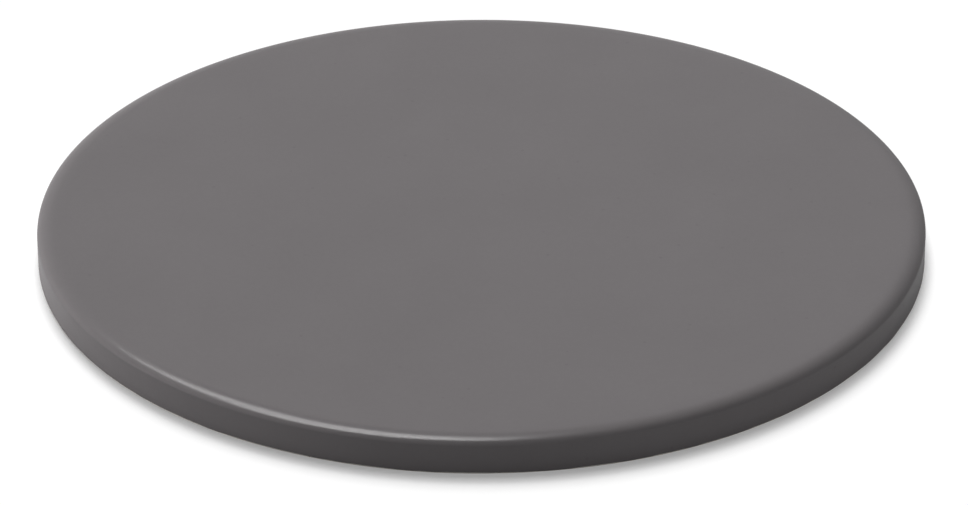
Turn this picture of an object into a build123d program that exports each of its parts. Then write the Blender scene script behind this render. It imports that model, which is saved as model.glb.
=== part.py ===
"""A round glazed pizza stone, in millimetres, lying on its base.

The origin is the centre of the base and +Z points up through the baking face. The real
thing is one pressed and fired disc of refractory ceramic with a satin glaze fused over its
top and its rim. The glaze stops just short of the base, so that the stone did not stick to
the kiln shelf, and leaves the disc bare underneath and in a narrow band above the base.
"""

from build123d import *

import os

# The finished stone, measured over the glaze
STONE_DIAMETER = 365.0
STONE_THICKNESS = 15.0

# The soft upper edge, which falls away along a quarter of an ellipse
SHOULDER_WIDTH = 7.0
SHOULDER_DEPTH = 2.6

# The glaze: an even coat that ends in a rounded lip above the bare band
GLAZE_THICKNESS = 0.4
BARE_BAND_HEIGHT = 0.6
LIP_ROUND_SHARE = 0.75  # of the glaze's thickness

# The bare disc under the glaze
BASE_EDGE_RADIUS = 0.35

# No edge takes more than this share of a disc's thickness or of its radius
LARGEST_EDGE_SHARE = 0.49

QUARTER_TURN = 90

PARTS_FOLDER = "parts"


def shouldered_disc(diameter, thickness, shoulder_width, shoulder_depth, base_radius):
    """Returns an upright disc on z = 0 with a soft upper shoulder and a rounded lower edge.

    Half of its section is drawn in the upright plane and turned about Z. The shoulder is a
    quarter of an ellipse, level where it leaves the top and upright where it meets the
    wall. Both edges are held to just under half of the disc, so that a straight wall is
    left between them.
    """
    radius = diameter / 2
    highest_edge = thickness * LARGEST_EDGE_SHARE
    width = min(shoulder_width, radius * LARGEST_EDGE_SHARE)
    depth = min(shoulder_depth, highest_edge)
    shoulder_centre = (radius - width, thickness - depth)
    shoulder = EllipticalCenterArc(shoulder_centre, width, depth, arc_size=QUARTER_TURN)
    straight_sides = Polyline(shoulder @ 1, (0, thickness), (0, 0), (radius, 0), shoulder @ 0)
    half_section = Plane.XZ * make_face([shoulder, straight_sides])
    disc = revolve(half_section, Axis.Z)
    base_edge = disc.edges().group_by(Axis.Z)[0]
    return fillet(base_edge, min(base_radius, highest_edge))


def fired_disc():
    """Returns the bare disc: the finished stone less the glaze on its top and its rim."""
    return shouldered_disc(
        STONE_DIAMETER - 2 * GLAZE_THICKNESS,
        STONE_THICKNESS - GLAZE_THICKNESS,
        SHOULDER_WIDTH - GLAZE_THICKNESS,
        SHOULDER_DEPTH - GLAZE_THICKNESS,
        BASE_EDGE_RADIUS,
    )


def glaze_coat(disc):
    """Returns the coat over the disc: its outer form less the disc that it is fused to."""
    outer_form = shouldered_disc(
        STONE_DIAMETER,
        STONE_THICKNESS - BARE_BAND_HEIGHT,
        SHOULDER_WIDTH,
        SHOULDER_DEPTH,
        GLAZE_THICKNESS * LIP_ROUND_SHARE,
    )
    return Pos(0, 0, BARE_BAND_HEIGHT) * outer_form - disc


def write_part(shape, name):
    """Writes one piece to its own STEP file, named after the piece."""
    export_step(shape, os.path.join(PARTS_FOLDER, f"{name}.step"))


def main():
    """Builds the disc and its glaze, and writes each to the parts folder."""
    os.makedirs(PARTS_FOLDER, exist_ok=True)
    disc = fired_disc()
    write_part(disc, "fired_disc")
    write_part(glaze_coat(disc), "glaze_coat")


main()
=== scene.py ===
"""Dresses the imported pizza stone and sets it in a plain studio.

The stone is a pale disc of fired clay with a satin grey glaze fused over its top and its
rim. Each of the two is a closed shell worked out with numpy: a profile is carried round
the upright axis, and a smooth random relief gives it the small unevenness of a thing that
was pressed, dipped and fired. Lengths are in metres, in the part's own frame, with the
base on z = 0 and +Z up through the baking face.
"""

from __future__ import annotations

import logging
import math
from dataclasses import asdict, dataclass
from enum import Enum
from functools import reduce

import bpy
import numpy as np
from mathutils import Matrix, Vector


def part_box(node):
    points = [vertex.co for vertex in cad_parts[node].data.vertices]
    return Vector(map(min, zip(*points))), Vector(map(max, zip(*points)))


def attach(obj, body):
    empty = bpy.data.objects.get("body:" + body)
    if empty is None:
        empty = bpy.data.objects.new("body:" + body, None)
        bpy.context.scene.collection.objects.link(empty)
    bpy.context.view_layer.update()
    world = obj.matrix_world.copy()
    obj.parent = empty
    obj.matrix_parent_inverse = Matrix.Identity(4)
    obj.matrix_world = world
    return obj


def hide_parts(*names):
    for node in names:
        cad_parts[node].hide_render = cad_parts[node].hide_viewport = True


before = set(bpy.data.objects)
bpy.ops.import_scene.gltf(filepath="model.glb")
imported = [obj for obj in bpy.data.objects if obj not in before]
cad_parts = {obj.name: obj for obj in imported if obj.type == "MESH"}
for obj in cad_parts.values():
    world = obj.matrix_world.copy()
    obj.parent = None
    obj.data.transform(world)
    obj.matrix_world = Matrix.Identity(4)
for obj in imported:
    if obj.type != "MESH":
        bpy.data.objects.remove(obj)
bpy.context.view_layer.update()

MM = 0.001
QUARTER_TURN = math.pi / 2
HALF_TURN = math.pi
FULL_TURN = 2 * math.pi

# Faces that meet at more than this angle are shaded with a sharp edge
SHARP_ANGLE = math.radians(50)

# The points of a straight run that needs no others than its two ends
ENDS_ONLY = 2

logger = logging.getLogger("pizza_stone")


# Shapes


@dataclass(frozen=True)
class Relief:
    """A smooth random relief that fills space, and is the same at each run.

    At a point p it is the sum, over all waves, of cos(2 pi (p . d) / w + f), times the
    square root of 2 / waves. Each wave has a random direction d, wavelength w and phase f.
    """

    seed: int
    shortest: float
    longest: float
    waves: int = 48

    def at(self, points: np.ndarray) -> np.ndarray:
        """Returns the relief at some points.

        Args:
            points: Any array whose last axis is x, y and z.

        Returns:
            One number for each point, about 0, with a spread of about 1.
        """
        random = np.random.default_rng(self.seed)
        directions = random.normal(size=(self.waves, 3))
        directions /= np.linalg.norm(directions, axis=1, keepdims=True)
        wavelengths = random.uniform(self.shortest, self.longest, self.waves)
        phases = random.uniform(0, FULL_TURN, self.waves)
        turns = points @ (directions / wavelengths[:, None]).T
        return np.cos(FULL_TURN * turns + phases).sum(axis=-1) * math.sqrt(2 / self.waves)

    def dip(self, points: np.ndarray) -> np.ndarray:
        """Returns the relief squeezed between 0 and 1, as (1 + tanh(relief)) / 2."""
        return (1 + np.tanh(self.at(points))) / 2


@dataclass(frozen=True)
class Profile:
    """A line in the half plane through the upright axis, with its outward direction.

    The line runs from the middle of the top outwards, then down and back to the middle. The
    solid is on its right, and the direction (out, up) points away from the solid.
    """

    radius: np.ndarray
    height: np.ndarray
    out: np.ndarray
    up: np.ndarray

    @staticmethod
    def level(start: float, end: float, height: float, steps: int, up: float) -> Profile:
        """Returns a level line between two radii; up is 1 or -1, the side that is free."""
        radius = np.linspace(start, end, steps)
        return Profile(radius, np.full(steps, height), np.zeros(steps), np.full(steps, up))

    @staticmethod
    def upright(radius: float, start: float, end: float, steps: int, out: float) -> Profile:
        """Returns an upright line between two heights; out is 1 or -1, the free side."""
        height = np.linspace(start, end, steps)
        return Profile(np.full(steps, radius), height, np.full(steps, out), np.zeros(steps))

    @staticmethod
    def arc(
        centre: tuple[float, float], half_axes: tuple[float, float], turn: np.ndarray
    ) -> Profile:
        """Returns an elliptical arc, by the angle t of its outward direction from the upright.

        With half axes w and d, its points are (radius + w w sin t / q, height + d d cos t / q),
        where q is the square root of (w sin t)^2 + (d cos t)^2.

        Args:
            centre: The radius and the height of the arc's centre.
            half_axes: The ellipse's level and upright half axes.
            turn: The angles t, in radians.

        Returns:
            The arc's points and their outward directions.
        """
        sine, cosine = np.sin(turn), np.cos(turn)
        width, depth = half_axes
        reach = np.hypot(width * sine, depth * cosine)
        radius = centre[0] + width**2 * sine / reach
        height = centre[1] + depth**2 * cosine / reach
        return Profile(radius, height, sine, cosine)

    def facing_inwards(self) -> Profile:
        """Returns the same line with the solid on its other side."""
        return Profile(self.radius, self.height, -self.out, -self.up)

    def then(self, other: Profile) -> Profile:
        """Returns this line and another after it, whose first point is the same as its last."""
        return Profile(
            np.concatenate([self.radius, other.radius[1:]]),
            np.concatenate([self.height, other.height[1:]]),
            np.concatenate([self.out, other.out[1:]]),
            np.concatenate([self.up, other.up[1:]]),
        )

    def carried_round(self, segments: int) -> tuple[np.ndarray, np.ndarray]:
        """Carries the line round the axis: (r cos a, r sin a, z) at each angle a.

        Args:
            segments: How many angles a full turn is cut into.

        Returns:
            The points and their outward directions, each with the shape (line, turn, 3).
        """
        angle = np.linspace(0, FULL_TURN, segments, endpoint=False)
        cosine, sine, flat = np.cos(angle), np.sin(angle), np.ones(segments)

        def swept(out: np.ndarray, up: np.ndarray) -> np.ndarray:
            """Returns (out cos a, out sin a, up) at each angle a."""
            return np.stack([np.outer(out, cosine), np.outer(out, sine), np.outer(up, flat)], axis=-1)

        return swept(self.radius, self.height), swept(self.out, self.up)


def smooth_step(values: np.ndarray, low: float, high: float) -> np.ndarray:
    """Returns 0 below low and 1 above high, and t t (3 - 2 t) in between."""
    share = np.clip((values - low) / (high - low), 0, 1)
    return share * share * (3 - 2 * share)


def closed_shell(name: str, points: np.ndarray, masks: dict[str, np.ndarray]) -> bpy.types.Object:
    """Makes a closed smooth mesh of a grid whose first and last rows are its two poles.

    Neighbouring rows are joined by four-sided faces all the way round, and each pole is
    one vertex with a fan of triangles.

    Args:
        name: The name of the piece.
        points: The grid, with the shape (rows, turn, 3), from one pole to the other.
        masks: A value for each grid point, kept as attributes under their names. At 1 a
            mask is full, and at 0 or below it is empty.

    Returns:
        The new object, linked to the scene at the origin.
    """
    rows, turn = points.shape[:2]
    middle = points[1:-1].reshape(-1, 3)
    vertices = np.concatenate([points[:1, 0], middle, points[-1:, 0]])
    here = np.arange(turn)
    beside = (here + 1) % turn
    starts = 1 + turn * np.arange(rows - 3)[:, None]
    corners = [starts + here, starts + turn + here, starts + turn + beside, starts + beside]
    quads = np.stack(corners, axis=-1).reshape(-1, 4)
    last_row = 1 + turn * (rows - 3)
    last_pole = len(vertices) - 1
    first_fan = np.stack([np.zeros(turn, int), 1 + here, 1 + beside], axis=-1)
    last_fan = np.stack([last_row + here, np.full(turn, last_pole), last_row + beside], axis=-1)
    mesh = bpy.data.meshes.new(name)
    mesh.from_pydata(vertices.tolist(), [], first_fan.tolist() + quads.tolist() + last_fan.tolist())
    mesh.polygons.foreach_set("use_smooth", np.ones(len(mesh.polygons), bool))
    mesh.set_sharp_from_angle(angle=SHARP_ANGLE)
    for label, values in masks.items():
        attribute = mesh.attributes.new(label, "FLOAT", "POINT")
        spread = np.concatenate([values[:1, 0], values[1:-1].ravel(), values[-1:, 0]])
        attribute.data.foreach_set("value", spread.astype(np.float32))
    shell = bpy.data.objects.new(name, mesh)
    bpy.context.scene.collection.objects.link(shell)
    return shell


# Shader nodes


class Bench:
    """Lays out and wires the nodes of one tree."""

    COLUMN_WIDTH = 190.0

    def __init__(self, tree: bpy.types.NodeTree) -> None:
        """Starts on an empty tree."""
        self.tree = tree
        tree.nodes.clear()

    @classmethod
    def of_material(cls, name: str) -> tuple[bpy.types.Material, Bench]:
        """Makes a material.

        Args:
            name: The material's name.

        Returns:
            The new material, and the bench of its empty tree.
        """
        material = bpy.data.materials.new(name)
        material.use_nodes = True
        return material, cls(material.node_tree)

    def feed(self, socket: bpy.types.NodeSocket, value: object) -> None:
        """Feeds an input socket.

        Args:
            socket: The input socket.
            value: An output socket to wire in, or a plain value.
        """
        if isinstance(value, bpy.types.NodeSocket):
            self.tree.links.new(value, socket)
        else:
            socket.default_value = value

    def add(
        self,
        kind: str,
        inputs: dict[str | int, object] | None = None,
        **settings: object,
    ) -> bpy.types.Node:
        """Adds a node.

        Args:
            kind: The node's type, such as ShaderNodeMath.
            inputs: What each of its sockets is fed.
            settings: The node's own settings, such as its operation.

        Returns:
            The new node.
        """
        node = self.tree.nodes.new(kind)
        node.location.x = self.COLUMN_WIDTH * len(self.tree.nodes)
        for label, value in settings.items():
            setattr(node, label, value)
        for label, value in (inputs or {}).items():
            self.feed(node.inputs[label], value)
        return node

    def math(self, operation: str, first: object, second: object) -> bpy.types.NodeSocket:
        """Returns the output of a Math node with two inputs."""
        return self.add("ShaderNodeMath", {0: first, 1: second}, operation=operation).outputs[0]

    def times_and_plus(self, value: object, factor: object, offset: object) -> bpy.types.NodeSocket:
        """Returns value times factor plus offset."""
        inputs = {0: value, 1: factor, 2: offset}
        return self.add("ShaderNodeMath", inputs, operation="MULTIPLY_ADD").outputs[0]

    def ramp(self, value: object, low: object, high: object) -> bpy.types.NodeSocket:
        """Ramps a value smoothly, and holds it outside the ramp.

        Args:
            value: The value.
            low: Where the ramp is 0.
            high: Where the ramp is 1.

        Returns:
            The ramp's output, from 0 to 1.
        """
        inputs = {"Value": value, "From Min": low, "From Max": high}
        node = self.add("ShaderNodeMapRange", inputs, interpolation_type="SMOOTHSTEP", clamp=True)
        return node.outputs["Result"]

    def mix(self, share: object, first: object, second: object) -> bpy.types.NodeSocket:
        """Mixes two colours.

        Args:
            share: How much of the second colour there is, from 0 to 1.
            first: The first colour.
            second: The second colour.

        Returns:
            The mixed colour.
        """
        node = self.add("ShaderNodeMix", {0: share}, data_type="RGBA")
        colours = [socket for socket in node.inputs if socket.type == "RGBA"]
        for socket, colour in zip(colours, (first, second)):
            self.feed(socket, colour)
        return next(socket for socket in node.outputs if socket.type == "RGBA")

    def tinted(self, colour: object, tone: object) -> bpy.types.NodeSocket:
        """Returns a colour times a number."""
        inputs = {0: colour, "Scale": tone}
        return self.add("ShaderNodeVectorMath", inputs, operation="SCALE").outputs[0]

    def noise(
        self, place: object, scale: object, detail: float = 2.0, roughness: float = 0.5
    ) -> bpy.types.NodeSocket:
        """Returns smooth noise, from 0 to 1 and mostly near the middle."""
        inputs = {"Vector": place, "Scale": scale, "Detail": detail, "Roughness": roughness}
        return self.add("ShaderNodeTexNoise", inputs).outputs["Fac"]

    def bump(self, height: object) -> bpy.types.NodeSocket:
        """Returns the surface's direction under a relief whose height is in metres."""
        inputs = {"Height": height, "Distance": 1.0, "Strength": 1.0}
        return self.add("ShaderNodeBump", inputs).outputs["Normal"]

    def mask(self, label: str) -> bpy.types.NodeSocket:
        """Returns a mask that the piece carries as an attribute."""
        node = self.add("ShaderNodeAttribute", attribute_name=label, attribute_type="GEOMETRY")
        return node.outputs["Fac"]

    def place(self) -> bpy.types.NodeSocket:
        """Returns the place on the piece, in metres."""
        return self.add("ShaderNodeTexCoord").outputs["Object"]


class Effect(Enum):
    """The node groups that more than one finish uses."""

    DRIFT = "tone_drift"
    SPOTS = "scattered_spots"
    GRAIN = "fired_grain"
    RAGGED = "ragged_band"

    def group(self) -> bpy.types.NodeTree:
        """Returns the effect's node group, built the first time that it is asked for."""
        found = bpy.data.node_groups.get(self.value)
        return found or EFFECT_BUILDERS[self](self.value)

    def on(self, bench: Bench, **inputs: object) -> bpy.types.NodeSocket:
        """Places the effect in a material.

        Args:
            bench: The material's bench.
            inputs: What each input gets, with its name in lower case and underscores.

        Returns:
            The effect's output.
        """
        node = bench.add("ShaderNodeGroup")
        node.node_tree = self.group()
        for label, value in inputs.items():
            bench.feed(node.inputs[label.replace("_", " ").title()], value)
        return node.outputs[0]


@dataclass(frozen=True)
class Plan:
    """The named inputs and the one output of a node group."""

    name: str
    inputs: dict[str, str]
    output: str

    def start(self) -> tuple[Bench, dict[str, bpy.types.NodeSocket]]:
        """Makes the group with its sockets.

        Returns:
            The group's bench, and its inputs by name, as sockets to wire from.
        """
        tree = bpy.data.node_groups.new(self.name, "ShaderNodeTree")
        for label, kind in self.inputs.items():
            tree.interface.new_socket(label, in_out="INPUT", socket_type=kind)
        tree.interface.new_socket(self.output, in_out="OUTPUT", socket_type="NodeSocketFloat")
        bench = Bench(tree)
        entry = bench.add("NodeGroupInput")
        return bench, {label: entry.outputs[label] for label in self.inputs}

    def end(self, bench: Bench, result: bpy.types.NodeSocket) -> bpy.types.NodeTree:
        """Wires the result to the group's output and returns the group."""
        bench.add("NodeGroupOutput", {self.output: result})
        return bench.tree


VECTOR = "NodeSocketVector"
NUMBER = "NodeSocketFloat"

# The middle of a noise, and how fine and how rough the noise of clouds and of ragged edges is
NOISE_MIDDLE = 0.5
PATCH_DETAIL = 3.0
CLOUD_ROUGHNESS = 0.55

# How much of a spot's half width is its full core
SPOT_CORE_SHARE = 0.5

# A cluster's width in cells, and the levels of noise where it starts and where it is full
CLUSTER_CELLS = 5.0
CLUSTER_START = 0.45
CLUSTER_FULL = 0.6


def build_tone_drift(name: str) -> bpy.types.NodeTree:
    """Builds a cloudy change of tone: 1 + strength (noise - 1/2), in patches of a given size.

    Args:
        name: The group's name.

    Returns:
        The new group.
    """
    plan = Plan(name, {"Place": VECTOR, "Patch Size": NUMBER, "Strength": NUMBER}, "Tone")
    bench, given = plan.start()
    scale = bench.math("DIVIDE", 1.0, given["Patch Size"])
    noise = bench.noise(given["Place"], scale, PATCH_DETAIL, CLOUD_ROUGHNESS)
    around_zero = bench.math("SUBTRACT", noise, NOISE_MIDDLE)
    return plan.end(bench, bench.times_and_plus(around_zero, given["Strength"], 1.0))


def build_scattered_spots(name: str) -> bpy.types.NodeTree:
    """Builds scattered round spots: 1 near the middle of a random few of the cells of space.

    A spot fades out over the outer half of its width. Crowd is from 0, spread evenly, to
    1, gathered in loose clusters: a cell's chance is share (1 - crowd + crowd gathered).

    Args:
        name: The group's name.

    Returns:
        The new group.
    """
    inputs = {"Place": VECTOR, "Spacing": NUMBER, "Width": NUMBER, "Share": NUMBER, "Crowd": NUMBER}
    plan = Plan(name, inputs, "Spots")
    bench, given = plan.start()
    scale = bench.math("DIVIDE", 1.0, given["Spacing"])
    cells = bench.add("ShaderNodeTexVoronoi", {"Vector": given["Place"], "Scale": scale})
    away = bench.math("MULTIPLY", cells.outputs["Distance"], given["Spacing"])
    rim = bench.math("DIVIDE", given["Width"], 2.0)
    core = bench.math("MULTIPLY", rim, SPOT_CORE_SHARE)
    spot = bench.ramp(away, rim, core)
    clusters = bench.noise(given["Place"], bench.math("DIVIDE", scale, CLUSTER_CELLS))
    gathered = bench.ramp(clusters, CLUSTER_START, CLUSTER_FULL)
    spread = bench.math("SUBTRACT", 1.0, given["Crowd"])
    chance = bench.times_and_plus(gathered, given["Crowd"], spread)
    likely = bench.math("MULTIPLY", given["Share"], chance)
    draw = bench.add("ShaderNodeSeparateColor", {"Color": cells.outputs["Color"]}).outputs["Red"]
    chosen = bench.math("LESS_THAN", draw, likely)
    return plan.end(bench, bench.math("MULTIPLY", spot, chosen))


def build_fired_grain(name: str) -> bpy.types.NodeTree:
    """Builds a fine fired grain: noise of a given grain size times a given depth, in metres.

    Args:
        name: The group's name.

    Returns:
        The new group.
    """
    plan = Plan(name, {"Place": VECTOR, "Grain Size": NUMBER, "Depth": NUMBER}, "Height")
    bench, given = plan.start()
    noise = bench.noise(given["Place"], bench.math("DIVIDE", 1.0, given["Grain Size"]))
    return plan.end(bench, bench.math("MULTIPLY", noise, given["Depth"]))


def build_ragged_band(name: str) -> bpy.types.NodeTree:
    """Builds a band with an uneven edge.

    It is band + unevenness (noise - 1/2), ramped smoothly between 0 and 1, where band is a
    mask that the piece carries.

    Args:
        name: The group's name.

    Returns:
        The new group.
    """
    inputs = {"Place": VECTOR, "Band": NUMBER, "Patch Size": NUMBER, "Unevenness": NUMBER}
    plan = Plan(name, inputs, "Mask")
    bench, given = plan.start()
    scale = bench.math("DIVIDE", 1.0, given["Patch Size"])
    noise = bench.noise(given["Place"], scale, PATCH_DETAIL)
    around_zero = bench.math("SUBTRACT", noise, NOISE_MIDDLE)
    pushed = bench.times_and_plus(around_zero, given["Unevenness"], given["Band"])
    return plan.end(bench, bench.ramp(pushed, 0.0, 1.0))


EFFECT_BUILDERS = {
    Effect.DRIFT: build_tone_drift,
    Effect.SPOTS: build_scattered_spots,
    Effect.GRAIN: build_fired_grain,
    Effect.RAGGED: build_ragged_band,
}


# Finishes


Colour = tuple[float, float, float, float]

THIN_MASK = "thin_glaze"
# Marks the glaze just above the lip, where it is darker: pooled glaze, and partly painted shade at
# the foot of the wall
POOLED_AND_SHADE_MASK = "pooled_glaze_and_painted_shade"
PALE_MASK = "pale_clay"


@dataclass(frozen=True)
class Drift:
    """A cloudy change of strength: the size of its patches, and how far it strays from 1."""

    patch_size: float
    strength: float

    def on(self, bench: Bench, place: bpy.types.NodeSocket) -> bpy.types.NodeSocket:
        """Returns the strength at a place, about 1."""
        return Effect.DRIFT.on(bench, place=place, **asdict(self))


@dataclass(frozen=True)
class Spots:
    """Small round spots of one kind, by their spacing and width.

    Their share is that of the cells that may hold one, and their crowd is from 0, spread
    evenly, to 1, gathered in loose clusters.
    """

    spacing: float
    width: float
    share: float
    crowd: float

    def on(self, bench: Bench, place: bpy.types.NodeSocket) -> bpy.types.NodeSocket:
        """Returns 1 in a spot and 0 beside it."""
        return Effect.SPOTS.on(bench, place=place, **asdict(self))


@dataclass(frozen=True)
class Grain:
    """A fine relief: the size of its grains, and its depth."""

    grain_size: float
    depth: float

    def on(self, bench: Bench, place: bpy.types.NodeSocket) -> bpy.types.NodeSocket:
        """Returns the relief's height at a place, in metres."""
        return Effect.GRAIN.on(bench, place=place, **asdict(self))


@dataclass(frozen=True)
class Ragged:
    """The uneven edge of a band: the size of its patches, and how far they push it."""

    patch_size: float
    unevenness: float

    def on(self, bench: Bench, place: bpy.types.NodeSocket, label: str) -> bpy.types.NodeSocket:
        """Returns 1 in the band that a mask of the piece marks, and 0 beside it."""
        return Effect.RAGGED.on(bench, place=place, band=bench.mask(label), **asdict(self))


@dataclass(frozen=True)
class SatinGlaze:
    """The grey glaze: a matt colour under a thin satin skin, with faint clouds and pinholes."""

    base: Colour = (0.165, 0.154, 0.158, 1.0)
    thin: Colour = (0.169, 0.158, 0.162, 1.0)
    # Darker glaze just above the lip: pooled glaze, and partly painted shade at the foot of the wall
    pooled: Colour = (0.162, 0.151, 0.155, 1.0)
    pinhole: Colour = (0.151, 0.141, 0.145, 1.0)
    roughness: float = 0.5
    gloss_level: float = 0.0
    skin: float = 0.24
    skin_roughness: float = 0.18
    clouds: Drift = Drift(patch_size=55 * MM, strength=0.10)
    flecks: Drift = Drift(patch_size=2.2 * MM, strength=0.06)
    sheen: Drift = Drift(patch_size=14 * MM, strength=0.25)
    thin_edge: Ragged = Ragged(patch_size=5 * MM, unevenness=0.6)
    pooled_edge: Ragged = Ragged(patch_size=4 * MM, unevenness=0.5)
    pinholes: Spots = Spots(spacing=8 * MM, width=1.8 * MM, share=0.5, crowd=0.8)
    pinhole_depth: float = 0.01 * MM
    pinhole_dullness: float = 0.04
    ripple: Grain = Grain(grain_size=3.0 * MM, depth=0.004 * MM)
    grain: Grain = Grain(grain_size=0.45 * MM, depth=0.0012 * MM)

    def material(self) -> bpy.types.Material:
        """Builds the glaze's material.

        The colour is the base, tinted where the glaze is thin, and darker just above the lip,
        for pooled glaze and partly as painted shade at the foot of the wall, times the clouds
        and the flecks, with the pinholes over that. The skin is as strong as the sheen says,
        and duller at a pinhole.

        Returns:
            The new material.
        """
        material, bench = Bench.of_material("satin_glaze")
        place = bench.place()
        pinholes = self.pinholes.on(bench, place)
        colour = bench.mix(self.thin_edge.on(bench, place, THIN_MASK), self.base, self.thin)
        # Painted shade, partly pooled glaze: the colour turns darker towards the foot of the wall
        colour = bench.mix(self.pooled_edge.on(bench, place, POOLED_AND_SHADE_MASK), colour, self.pooled)
        tone = bench.math("MULTIPLY", self.clouds.on(bench, place), self.flecks.on(bench, place))
        colour = bench.mix(pinholes, bench.tinted(colour, tone), self.pinhole)
        skin = bench.math("MULTIPLY", self.sheen.on(bench, place), self.skin)
        skin = bench.times_and_plus(pinholes, -self.pinhole_dullness, skin)
        height = bench.math("ADD", self.ripple.on(bench, place), self.grain.on(bench, place))
        height = bench.times_and_plus(pinholes, -self.pinhole_depth, height)
        shader = bench.add(
            "ShaderNodeBsdfPrincipled",
            {
                "Base Color": colour,
                "Roughness": self.roughness,
                "Normal": bench.bump(height),
                "Specular IOR Level": self.gloss_level,
                "Coat Weight": skin,
                "Coat Roughness": self.skin_roughness,
            },
        )
        bench.add("ShaderNodeOutputMaterial", {"Surface": shader.outputs[0]})
        return material


@dataclass(frozen=True)
class BareCeramic:
    """The unglazed clay: pale, dry and gritty, with iron specks, and paler next to the glaze."""

    base: Colour = (0.62, 0.57, 0.49, 1.0)
    grog: Colour = (0.74, 0.70, 0.62, 1.0)
    iron: Colour = (0.16, 0.09, 0.05, 1.0)
    pale: Colour = (0.64, 0.62, 0.59, 1.0)
    roughness: float = 0.82
    grog_smoothness: float = 0.12
    clouds: Drift = Drift(patch_size=40 * MM, strength=0.22)
    flecks: Drift = Drift(patch_size=1.5 * MM, strength=0.16)
    pale_edge: Ragged = Ragged(patch_size=3 * MM, unevenness=0.8)
    grog_grains: Spots = Spots(spacing=2.4 * MM, width=1.1 * MM, share=0.8, crowd=0.0)
    iron_specks: Spots = Spots(spacing=4.5 * MM, width=0.6 * MM, share=0.7, crowd=0.5)
    tooth: Grain = Grain(grain_size=2.2 * MM, depth=0.03 * MM)
    grain: Grain = Grain(grain_size=0.5 * MM, depth=0.03 * MM)

    def material(self) -> bpy.types.Material:
        """Builds the bare clay's material.

        The colour is the base with grains of grog, paler next to the glaze, times the
        clouds and the flecks, with the iron specks over that. The grog is a little
        smoother than the clay round it.

        Returns:
            The new material.
        """
        material, bench = Bench.of_material("bare_ceramic")
        place = bench.place()
        grog = self.grog_grains.on(bench, place)
        colour = bench.mix(grog, self.base, self.grog)
        colour = bench.mix(self.pale_edge.on(bench, place, PALE_MASK), colour, self.pale)
        tone = bench.math("MULTIPLY", self.clouds.on(bench, place), self.flecks.on(bench, place))
        iron = self.iron_specks.on(bench, place)
        colour = bench.mix(iron, bench.tinted(colour, tone), self.iron)
        roughness = bench.times_and_plus(grog, -self.grog_smoothness, self.roughness)
        height = bench.math("ADD", self.tooth.on(bench, place), self.grain.on(bench, place))
        shader = bench.add(
            "ShaderNodeBsdfPrincipled",
            {"Base Color": colour, "Roughness": roughness, "Normal": bench.bump(height)},
        )
        bench.add("ShaderNodeOutputMaterial", {"Surface": shader.outputs[0]})
        return material


# The stone


@dataclass(frozen=True)
class StoneForm:
    """The stone's sizes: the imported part's, and the rounds that the part's boxes don't give.

    The glaze's lower edge strays up and down by line_stray, as line_relief says.
    """

    radius: float
    thickness: float
    coat: float
    bare_band: float
    shoulder_width: float = 7.0 * MM
    shoulder_depth: float = 2.6 * MM
    base_round: float = 0.35 * MM
    line_stray: float = 0.16 * MM
    line_relief: Relief = Relief(seed=31, shortest=7 * MM, longest=46 * MM)
    segments: int = 840

    @classmethod
    def from_frame(cls) -> StoneForm:
        """Reads the radius, the two thicknesses and the bare band off the nodes' boxes.

        Returns:
            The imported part's form.
        """
        disc_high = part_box("fired_disc")[1]
        coat_low, coat_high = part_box("glaze_coat")
        reach = min(-coat_low.x, -coat_low.y, coat_high.x, coat_high.y)
        return cls(reach, coat_high.z, coat_high.z - disc_high.z, coat_low.z)

    @property
    def clay_radius(self) -> float:
        """The bare disc's radius."""
        return self.radius - self.coat

    @property
    def clay_height(self) -> float:
        """The bare disc's height."""
        return self.thickness - self.coat

    @property
    def shoulder_centre(self) -> tuple[float, float]:
        """The radius and the height of the centre of the shoulder's ellipse."""
        return self.radius - self.shoulder_width, self.thickness - self.shoulder_depth

    @property
    def clay_shoulder(self) -> tuple[float, float]:
        """The half axes of the bare disc's own shoulder, under the coat."""
        return self.shoulder_width - self.coat, self.shoulder_depth - self.coat

    def glaze_line(self, points: np.ndarray) -> np.ndarray:
        """Finds how far the glaze's lower edge strays: line_stray tanh(line_relief).

        The relief is read on the rim, at the point's own angle. Points nearer to the axis
        than the shoulder is wide are read between the rim and the axis.

        Args:
            points: Any array whose last axis is x, y and z.

        Returns:
            One length for each point, up or down.
        """
        flat = points.copy()
        flat[..., 2] = 0
        reach = np.maximum(np.linalg.norm(flat, axis=-1, keepdims=True), self.shoulder_width)
        return self.line_stray * np.tanh(self.line_relief.at(flat / reach * self.radius))


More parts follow.
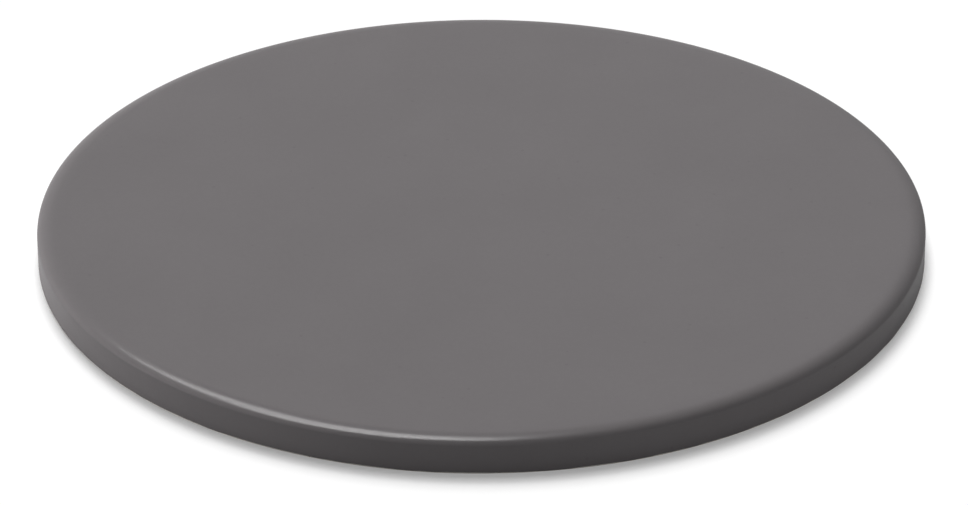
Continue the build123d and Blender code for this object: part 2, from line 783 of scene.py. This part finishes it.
@dataclass(frozen=True)
class GlazeCoat:
    """The glaze: an even coat over the top and the rim that ends in a rounded, uneven lip."""

    form: StoneForm
    finish: SatinGlaze = SatinGlaze()
    lip_round: float = 0.3 * MM
    lip_reach: float = 4 * MM
    # How far above the lip the darker tint reaches: pooled glaze, and partly painted shade
    pool_reach: float = 3 * MM
    warp_depth: float = 0.07 * MM
    flow_depth: float = 0.016 * MM
    warp: Relief = Relief(seed=11, shortest=70 * MM, longest=180 * MM)
    flow: Relief = Relief(seed=12, shortest=9 * MM, longest=26 * MM, waves=64)
    top_steps: int = 52
    shoulder_steps: int = 25
    wall_steps: int = 10
    lip_steps: int = 8
    inner_steps: int = 5

    def profile(self) -> Profile:
        """Draws the coat's outline.

        Returns:
            The line from the middle of its top, round its lip, to the middle of its inside.
        """
        form = self.form
        edge, fall = form.shoulder_centre
        lip = self.lip_round
        down = np.linspace(0, QUARTER_TURN, self.shoulder_steps)
        under = np.linspace(QUARTER_TURN, HALF_TURN, self.lip_steps)
        back = np.linspace(QUARTER_TURN, 0, self.inner_steps)
        parts = (
            Profile.level(0, edge, form.thickness, self.top_steps, up=1),
            Profile.arc((edge, fall), (form.shoulder_width, form.shoulder_depth), down),
            Profile.upright(form.radius, fall, form.bare_band + lip, self.wall_steps, out=1),
            Profile.arc((form.radius - lip, form.bare_band + lip), (lip, lip), under),
            Profile.level(form.radius - lip, form.clay_radius, form.bare_band, ENDS_ONLY, up=-1),
            Profile.upright(form.clay_radius, form.bare_band, fall, self.inner_steps, out=-1),
            Profile.arc((edge, fall), form.clay_shoulder, back).facing_inwards(),
            Profile.level(edge, 0, form.clay_height, self.inner_steps, up=-1),
        )
        return reduce(Profile.then, parts)

    def outer_face(self, grid: tuple[int, int]) -> np.ndarray:
        """Marks the outer face, which is the outline's first four lines.

        Args:
            grid: The number of points along the outline, and round it.

        Returns:
            1 on the outer face and 0 on the inside, for each point of the grid.
        """
        lines = (self.top_steps, self.shoulder_steps, self.wall_steps, self.lip_steps)
        shared_points = len(lines) - 1
        outer = np.zeros(grid)
        outer[: sum(lines) - shared_points] = 1
        return outer

    def build(self) -> bpy.types.Object:
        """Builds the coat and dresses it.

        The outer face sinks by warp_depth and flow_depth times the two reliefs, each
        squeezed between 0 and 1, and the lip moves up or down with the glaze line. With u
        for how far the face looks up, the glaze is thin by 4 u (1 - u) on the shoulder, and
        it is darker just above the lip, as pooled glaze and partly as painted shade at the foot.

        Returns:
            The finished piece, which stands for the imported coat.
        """
        form = self.form
        points, outward = self.profile().carried_round(form.segments)
        outer = self.outer_face(points.shape[:2])
        sink = self.warp_depth * self.warp.dip(points) + self.flow_depth * self.flow.dip(points)
        height, upward = points[..., 2], outward[..., 2]
        lip_top = form.bare_band + self.lip_round
        near_lip = 1 - smooth_step(height, lip_top, form.bare_band + self.lip_reach)
        on_rim = np.linalg.norm(points[..., :2], axis=-1) > form.shoulder_centre[0]
        shaped = points - outward * (outer * sink * (1 - near_lip))[..., None]
        shaped[..., 2] += form.glaze_line(points) * near_lip * on_rim
        thin = outer * np.where(on_rim, 4 * upward * (1 - upward), 0)
        # Darker towards the foot of the outer wall: pooled glaze, and partly painted shade
        pooled = outer * (1 - smooth_step(height, form.bare_band, form.bare_band + self.pool_reach))
        piece = closed_shell("glaze", shaped, {THIN_MASK: thin, POOLED_AND_SHADE_MASK: pooled})
        piece.data.materials.append(self.finish.material())
        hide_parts("glaze_coat")
        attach(piece, "root")
        return piece


@dataclass(frozen=True)
class ClayDisc:
    """The fired disc: hidden by the glaze but for its underside and a narrow band above it."""

    form: StoneForm
    finish: BareCeramic = BareCeramic()
    press_depth: float = 0.05 * MM
    tooth_depth: float = 0.02 * MM
    press: Relief = Relief(seed=21, shortest=40 * MM, longest=120 * MM)
    tooth: Relief = Relief(seed=22, shortest=6 * MM, longest=16 * MM, waves=64)
    hidden_steps: int = 5
    band_steps: int = 6
    edge_steps: int = 7
    base_steps: int = 60

    def profile(self) -> Profile:
        """Draws the disc's outline.

        Returns:
            The line from the middle of its top, round its rim, to the middle of its base.
        """
        form = self.form
        edge, fall = form.shoulder_centre
        covered = form.bare_band + 2 * form.line_stray
        corner = form.base_round
        down = np.linspace(0, QUARTER_TURN, self.hidden_steps)
        under = np.linspace(QUARTER_TURN, HALF_TURN, self.edge_steps)
        parts = (
            Profile.level(0, edge, form.clay_height, self.hidden_steps, up=1),
            Profile.arc((edge, fall), form.clay_shoulder, down),
            Profile.upright(form.clay_radius, fall, covered, ENDS_ONLY, out=1),
            Profile.upright(form.clay_radius, covered, corner, self.band_steps, out=1),
            Profile.arc((form.clay_radius - corner, corner), (corner, corner), under),
            Profile.level(form.clay_radius - corner, 0, 0, self.base_steps, up=-1),
        )
        return reduce(Profile.then, parts)

    def build(self) -> bpy.types.Object:
        """Builds the disc and dresses it.

        The bare faces sink by press_depth and tooth_depth times the two reliefs, each
        squeezed between 0 and 1, and not at all where the glaze covers them.

        Returns:
            The finished piece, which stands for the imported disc.
        """
        form = self.form
        points, outward = self.profile().carried_round(form.segments)
        height = points[..., 2]
        bare = 1 - smooth_step(height, form.base_round, form.bare_band - form.line_stray)
        sink = self.press_depth * self.press.dip(points) + self.tooth_depth * self.tooth.dip(points)
        shaped = points - outward * (bare * sink)[..., None]
        pale = smooth_step(height, 0, form.bare_band)
        piece = closed_shell("clay", shaped, {PALE_MASK: pale})
        piece.data.materials.append(self.finish.material())
        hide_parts("fired_disc")
        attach(piece, "root")
        return piece


# The studio


def toward(azimuth: float, elevation: float) -> Vector:
    """Returns the direction out from the stone at two angles in degrees.

    Args:
        azimuth: 0 towards the camera's side, -Y, and 90 towards +X.
        elevation: The angle above the table.

    Returns:
        A direction of length 1.
    """
    around, above = math.radians(azimuth), math.radians(elevation)
    level = math.cos(above)
    return Vector((math.sin(around) * level, -math.cos(around) * level, math.sin(above)))


def facing(direction: Vector, turn: float) -> Matrix:
    """Returns the turned frame of a thing whose back points along a direction.

    Args:
        direction: Where its own +Z points.
        turn: How far it is turned about that, in degrees, from having its +X level.

    Returns:
        A rotation with four rows.
    """
    level = Vector((0, 0, 1)).cross(direction).normalized()
    upward = direction.cross(level)
    unturned = Matrix((level, upward, direction)).transposed().to_4x4()
    return unturned @ Matrix.Rotation(math.radians(turn), 4, "Z")


class Lit(Enum):
    """What a lamp is made to light: the stone or the table, each with lamps of its own.

    The softboxes can then stand low round the stone, where its walls and its shoulder ask
    for them, and the table still keeps the one short, soft shadow of the light overhead.
    """

    STONE = "lit_stone"
    TABLE = "lit_table"

    def group(self) -> bpy.types.Collection:
        """Returns the collection that holds what these lamps light."""
        return bpy.data.collections.get(self.value) or bpy.data.collections.new(self.value)

    def hang(self, name: str, light: bpy.types.Light, place: Matrix) -> bpy.types.Object:
        """Hangs a lamp that lights this group and nothing else.

        Args:
            name: The lamp's name.
            light: Its light.
            place: Where it hangs, with its +Z pointing away from the stone.

        Returns:
            The lamp, which itself never shows.
        """
        lamp = bpy.data.objects.new(name, light)
        lamp.matrix_world = place
        lamp.visible_camera = False
        lamp.light_linking.receiver_collection = self.group()
        bpy.context.scene.collection.objects.link(lamp)
        return lamp


class Use(Enum):
    """What a softbox is for: to light the stone's colour, or to make the line in its gloss."""

    FILL = "fill"
    SHINE = "shine"


@dataclass(frozen=True)
class Softbox:
    """A flat lamp that shines at the stone.

    Its width and height are the angles that it fills, in degrees, as the stone sees it. Its
    glow is the brightness of its face, on a scale where a lit white thing is 1.
    """

    use: Use
    name: str
    azimuth: float
    elevation: float
    width: float
    height: float
    glow: float
    distance: float = 12.0

    def across(self, angle: float) -> float:
        """Returns the length that fills an angle in degrees at the lamp's distance."""
        return 2 * self.distance * math.tan(math.radians(angle) / 2)

    def build(self) -> bpy.types.Object:
        """Builds the lamp.

        Returns:
            The lamp, hung so that it lights the stone.
        """
        light = bpy.data.lights.new(self.name, "AREA")
        light.shape = "RECTANGLE"
        light.size = self.across(self.width)
        light.size_y = self.across(self.height)
        light.energy = self.glow * math.pi * light.size * light.size_y
        out = toward(self.azimuth, self.elevation)
        place = Matrix.Translation(out * self.distance) @ facing(out, 0)
        lamp = Lit.STONE.hang(self.name, light, place)
        lamp.visible_diffuse = self.use is Use.FILL
        lamp.visible_glossy = self.use is Use.SHINE
        return lamp


@dataclass(frozen=True)
class SkyPanel:
    """A distant round lamp that lights the whole table evenly.

    Its spread is the angle that it fills, in degrees. Its level is the brightness that it
    gives a white thing that faces it.
    """

    name: str
    azimuth: float
    elevation: float
    spread: float
    level: float

    def build(self) -> bpy.types.Object:
        """Builds the lamp.

        Returns:
            The lamp, hung so that it lights the table.
        """
        light = bpy.data.lights.new(self.name, "SUN")
        light.angle = math.radians(self.spread)
        light.energy = self.level * math.pi
        return Lit.TABLE.hang(self.name, light, facing(toward(self.azimuth, self.elevation), 0))


class Ray(Enum):
    """The rays to which the table and the room look white."""

    CAMERA = "Is Camera Ray"
    GLOSSY = "Is Glossy Ray"
    TRANSMISSION = "Is Transmission Ray"

    @classmethod
    def any_of_them(cls, bench: Bench) -> bpy.types.NodeSocket:
        """Tells such a ray from any other.

        Args:
            bench: The bench of the table's or the room's tree.

        Returns:
            1 for such a ray and 0 for any other.
        """
        path = bench.add("ShaderNodeLightPath")
        seen = 0.0
        for ray in cls:
            seen = bench.math("MAXIMUM", path.outputs[ray.value], seen)
        return seen


@dataclass(frozen=True)
class Table:
    """The white table: it takes the stone's shadow near by and runs out into plain white.

    To the rays that don't see it white it is a dull grey, so that it throws little light
    back up. Its lift is the glow that is added to the paper, and the fade is where the
    paper turns into plain white, by the distance from the stone's middle.
    """

    radius: float = 40.0
    sides: int = 96
    paper: Colour = (0.72, 0.72, 0.72, 1.0)
    under_lamps: Colour = (0.19, 0.19, 0.19, 1.0)
    lift: float = 0.30
    fade_start: float = 0.45
    fade_end: float = 1.2

    def material(self) -> bpy.types.Material:
        """Builds the table's material: paper and shadow near the stone, and white beyond.

        Returns:
            The new material.
        """
        material, bench = Bench.of_material("white_table")
        paper = bench.add("ShaderNodeBsdfDiffuse", {"Color": self.paper})
        lift = bench.add("ShaderNodeEmission", {"Strength": self.lift})
        lit = bench.add("ShaderNodeAddShader", {0: paper.outputs[0], 1: lift.outputs[0]})
        white = bench.add("ShaderNodeEmission", {"Strength": 1.0})
        distance = bench.add("ShaderNodeVectorMath", {0: bench.place()}, operation="LENGTH")
        far = bench.ramp(distance.outputs["Value"], self.fade_start, self.fade_end)
        shown = bench.add("ShaderNodeMixShader", {0: far, 1: lit.outputs[0], 2: white.outputs[0]})
        dull = bench.add("ShaderNodeBsdfDiffuse", {"Color": self.under_lamps})
        seen = Ray.any_of_them(bench)
        whole = bench.add("ShaderNodeMixShader", {0: seen, 1: dull.outputs[0], 2: shown.outputs[0]})
        bench.add("ShaderNodeOutputMaterial", {"Surface": whole.outputs[0]})
        return material

    def build(self) -> bpy.types.Object:
        """Builds the table as a round sheet: (r cos a, r sin a, 0) at each angle a.

        Returns:
            The table, staged as the floor.
        """
        rim = np.linspace(0, FULL_TURN, self.sides, endpoint=False)
        edge = np.stack([self.radius * np.cos(rim), self.radius * np.sin(rim), 0 * rim], axis=-1)
        mesh = bpy.data.meshes.new("table")
        mesh.from_pydata(edge.tolist(), [], [list(range(len(edge)))])
        table = bpy.data.objects.new("table", mesh)
        mesh.materials.append(self.material())
        bpy.context.scene.collection.objects.link(table)
        return table


@dataclass(frozen=True)
class PhotoCamera:
    """The camera, at the photograph's angle and with its framing.

    Its elevation and roll are in degrees, its distance in metres, its lens and sensor in
    millimetres, and the frame's sizes and the centre's place in pixels of the photograph.
    """

    elevation: float = 28.42
    distance: float = 2.026
    lens: float = 183.05
    sensor: float = 36.0
    roll: float = -0.126
    frame_width: int = 968
    frame_height: int = 505
    centre_column: float = 481.44
    centre_row: float = 211.71

    def build(self, target: Vector) -> bpy.types.Object:
        """Builds the camera.

        Args:
            target: The middle of the baking face, which the picture shows at
                centre_column and centre_row.

        Returns:
            The camera, aimed so that the target lands there.
        """
        back = toward(0, self.elevation)
        axes = facing(back, 0)
        pixel = self.sensor / self.lens / self.frame_width * self.distance
        right = (self.frame_width / 2 - self.centre_column) * pixel
        up = (self.centre_row - self.frame_height / 2) * pixel
        place = target + back * self.distance
        aim = target + (axes @ Vector((right, up, 0)))
        lens = bpy.data.cameras.new("photo_camera")
        lens.lens = self.lens
        lens.sensor_width = self.sensor
        camera = bpy.data.objects.new("photo_camera", lens)
        looking = (place - aim).normalized()
        camera.matrix_world = Matrix.Translation(place) @ facing(looking, self.roll)
        bpy.context.scene.collection.objects.link(camera)
        bpy.context.scene.camera = camera
        return camera


@dataclass(frozen=True)
class Studio:
    """The plain studio: a table, soft lamps, and a white room that gives little light itself.

    The room's number is how bright its walls are as a light, on a scale where white is 1.
    """

    room: float = 0.03
    table: Table = Table()
    lamps: tuple[Softbox | SkyPanel, ...] = (
        Softbox(Use.SHINE, "strip_middle", -156, 62, 14, 34, 15.0),
        Softbox(Use.SHINE, "strip_left", -137, 67, 8, 18, 14.6),
        Softbox(Use.SHINE, "strip_right", -172, 65, 8, 20, 10.8),
        Softbox(Use.SHINE, "strip_end", 179, 65, 6, 20, 4.2),
        Softbox(Use.FILL, "side", -68, 9, 26, 16, 1.4),
        Softbox(Use.FILL, "left", -97, 17, 32, 32, 6.25),
        Softbox(Use.FILL, "rear_low", -136, 8, 32, 14, 3.8),
        Softbox(Use.FILL, "rear", -136, 24, 32, 18, 10.7),
        Softbox(Use.FILL, "rear_high", -136, 48, 36, 28, 1.55),
        Softbox(Use.FILL, "back_low", 178, 8, 40, 14, 3.3),
        Softbox(Use.FILL, "back", 178, 24, 40, 18, 4.0),
        Softbox(Use.FILL, "back_high", 178, 48, 40, 28, 1.7),
        Softbox(Use.FILL, "right_low", 80, 9, 36, 16, 1.7),
        Softbox(Use.FILL, "right", 80, 30, 36, 24, 0.9),
        Softbox(Use.FILL, "front", 10, 14, 66, 26, 0.88),
        SkyPanel("overhead", -172, 70, 30, 0.53),
        SkyPanel("sloping_sky", -172, 54, 26, 0.53),
        SkyPanel("back_sky", -175, 38, 24, 0.08),
    )

    def surround(self) -> bpy.types.World:
        """Builds the room: white in the picture and in gloss, and dim as a light.

        Returns:
            The room, set as the scene's world.
        """
        world = bpy.data.worlds.new("room")
        world.use_nodes = True
        bench = Bench(world.node_tree)
        strength = bench.times_and_plus(Ray.any_of_them(bench), 1 - self.room, self.room)
        walls = bench.add("ShaderNodeBackground", {"Color": (1, 1, 1, 1), "Strength": strength})
        bench.add("ShaderNodeOutputWorld", {"Surface": walls.outputs[0]})
        bpy.context.scene.world = world
        return world

    def build(self, stone: list[bpy.types.Object]) -> None:
        """Builds the room, the table and the lamps.

        Args:
            stone: The pieces that the softboxes light.
        """
        self.surround()
        Lit.TABLE.group().objects.link(self.table.build())
        for piece in stone:
            Lit.STONE.group().objects.link(piece)
        for lamp in self.lamps:
            lamp.build()


def report(piece: bpy.types.Object) -> None:
    """Reports a piece's name and how many faces it has."""
    logger.info("%s: %d faces", piece.name, len(piece.data.polygons))


def main() -> None:
    """Builds the camera, the stone and the studio."""
    logging.basicConfig(level=logging.INFO, format="%(name)s: %(message)s")
    bpy.context.scene.view_settings.view_transform = "Standard"
    form = StoneForm.from_frame()
    PhotoCamera().build(Vector((0, 0, form.thickness)))
    stone = [maker.build() for maker in (ClayDisc(form), GlazeCoat(form))]
    for piece in stone:
        report(piece)
    Studio().build(stone)


if __name__ == "__main__":
    main()
